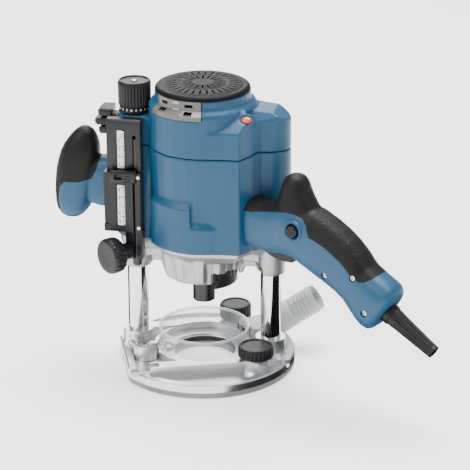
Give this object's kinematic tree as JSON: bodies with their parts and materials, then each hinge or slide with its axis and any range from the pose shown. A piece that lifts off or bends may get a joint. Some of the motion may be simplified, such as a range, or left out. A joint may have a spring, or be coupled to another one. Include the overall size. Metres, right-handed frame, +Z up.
{
  "type": "plunge router",
  "caption": "Hand-held plunge router: motor head with two handles sliding down two columns onto a round base with a clear dust hood.",
  "frame": {"origin": "spindle axis at the underside of the sole", "axes": "+X from the left column to the right column, +Z up along the spindle and columns"},
  "size_m": [0.387, 0.2162, 0.29],
  "materials": {
    "blue_plastic": "satin moulded blue",
    "soft_grip": "matt black elastomer",
    "black_plastic": "fine-textured black",
    "dark_panel": "dark grey-brown",
    "sole_plastic": "dark grey sliding sole",
    "cast_aluminium": "die-cast, rim machined bright",
    "clear_plastic": "clear moulded",
    "grey_plastic": "satin light grey",
    "chrome": "ground and chromed",
    "steel": "bright steel",
    "black_steel": "black oxide",
    "bronze": "sintered bronze",
    "laminations": "stacked sheet",
    "copper": "varnished copper",
    "carbon": "graphite",
    "scale_white": "white printed strip",
    "red_lens": "red lens"
  },
  "bodies": {
    "base": {"sole_plate": "sole_plastic", "base_plate": "cast_aluminium", "sole_screws": "steel", "column_left": "chrome", "column_right": "chrome", "plunge_springs": "steel", "dust_hood": "clear_plastic", "dust_adapter": "grey_plastic", "base_pivots": "steel"},
    "rod_knob_front": {"rod_knob_front": "black_plastic"},
    "rod_knob_back": {"rod_knob_back": "black_plastic"},
    "turret": {"stop_turret": "steel", "turret_screws": "steel"},
    "template_guide_lever": {"template_guide_lever": "steel"},
    "spindle": {"spindle": "steel", "collet": "steel", "collet_nut": "black_steel", "fan": "black_plastic", "armature_core": "laminations", "armature_windings": "copper", "commutator": "copper"},
    "spindle_lock": {"spindle_lock_ring": "black_plastic"},
    "depth_stop": {"depth_rod": "chrome"},
    "index_slider": {"index_slider": "black_plastic", "index_shoe": "black_plastic"},
    "depth_clamp": {"depth_clamp_knob": "black_plastic"},
    "plunge_lock": {"plunge_lock_lever": "black_plastic"},
    "fine_knob": {"fine_depth_knob": "black_plastic", "fine_depth_screw": "steel"},
    "scale_ring": {"depth_scale_ring": "black_plastic"},
    "trigger": {"trigger": "black_plastic"},
    "lock_button": {"lock_on_button": "black_plastic"},
    "head": {"bearing_bridge": "black_plastic", "brush_holders": "black_plastic", "carbon_brushes": "carbon", "column_bushes": "bronze", "cord_boot": "black_plastic", "depth_guide": "black_plastic", "depth_rail": "black_plastic", "depth_scales": "scale_white", "electronics_module": "dark_panel", "field_coils": "copper", "field_core": "laminations", "guide_screws": "steel", "handle_screws": "steel", "housing_screws": "steel", "indicator_lamp": "red_lens", "left_grip": "soft_grip", "left_handle": "blue_plastic", "lower_bearing": "steel", "lower_housing": "blue_plastic", "nose_casting": "cast_aluminium", "right_grip": "soft_grip", "right_handle_back": "blue_plastic", "right_handle_front": "blue_plastic", "switch_module": "black_plastic", "top_cover": "black_plastic", "trigger_pin": "steel", "upper_bearing": "steel", "upper_housing": "blue_plastic", "vent_panel": "dark_panel"}
  },
  "joints": [
    {"name": "head_plunge", "type": "slide", "parent": "base", "child": "head", "axis": [0, 0, -1], "range_m": [0, 0.06], "stiffness_N_per_m": 300, "springref_m": -0.1, "deforming": ["plunge_springs"]},
    {"name": "rod_knob_front_turn", "type": "hinge", "parent": "base", "child": "rod_knob_front", "pos_m": [0.05704, -0.03112, 0.022], "axis": [0, 0, 1], "range_deg": [-360, 360]},
    {"name": "rod_knob_back_turn", "type": "hinge", "parent": "base", "child": "rod_knob_back", "pos_m": [0.02125, 0.05808, 0.022], "axis": [0, 0, 1], "range_deg": [-360, 360]},
    {"name": "turret_turn", "type": "hinge", "parent": "base", "child": "turret", "pos_m": [-0.0535, -0.0275, 0.015], "axis": [0, 0, 1], "continuous": true},
    {"name": "guide_lever_turn", "type": "hinge", "parent": "base", "child": "template_guide_lever", "pos_m": [-0.037, -0.00005, 0.014], "axis": [0, 0, 1], "range_deg": [-15, 0], "stiffness_Nm_per_rad": 0.02, "springref_deg": 5.73},
    {"name": "spindle_spin", "type": "hinge", "parent": "head", "child": "spindle", "pos_m": [0, 0, 0.12], "axis": [0, 0, 1], "continuous": true},
    {"name": "spindle_lock_turn", "type": "hinge", "parent": "head", "child": "spindle_lock", "pos_m": [0, 0, 0.1], "axis": [0, 0, 1], "range_deg": [0, 12], "stiffness_Nm_per_rad": 0.2, "springref_deg": -2.86},
    {"name": "depth_stop_slide", "type": "slide", "parent": "head", "child": "depth_stop", "axis": [0, 0, 1], "range_m": [-0.05, 0]},
    {"name": "index_slide", "type": "slide", "parent": "depth_stop", "child": "index_slider", "axis": [0, 0, 1], "range_m": [0, 0.03]},
    {"name": "depth_clamp_turn", "type": "hinge", "parent": "head", "child": "depth_clamp", "pos_m": [-0.07619, -0.04127, 0.125], "axis": [-0.6606, -0.7507, 0], "range_deg": [-360, 360]},
    {"name": "plunge_lock_turn", "type": "hinge", "parent": "head", "child": "plunge_lock", "pos_m": [-0.09, 0.004, 0.247], "axis": [-1, 0, 0], "range_deg": [0, 45]},
    {"name": "fine_knob_turn", "type": "hinge", "parent": "head", "child": "fine_knob", "pos_m": [-0.0665, 0, 0.27], "axis": [0, 0, 1], "continuous": true},
    {"name": "scale_ring_turn", "type": "hinge", "parent": "head", "child": "scale_ring", "pos_m": [-0.0665, 0, 0.26], "axis": [0, 0, 1], "continuous": true},
    {"name": "trigger_pull", "type": "hinge", "parent": "head", "child": "trigger", "pos_m": [0.0695, -0.03541, 0.151], "axis": [-0.454, -0.891, 0], "range_deg": [0, 6], "stiffness_Nm_per_rad": 1.5, "springref_deg": -5.73},
    {"name": "lock_button_press", "type": "slide", "parent": "head", "child": "lock_button", "axis": [0.454, 0.891, 0], "range_m": [0, 0.003], "stiffness_N_per_m": 400, "springref_m": -0.002}
  ]
}
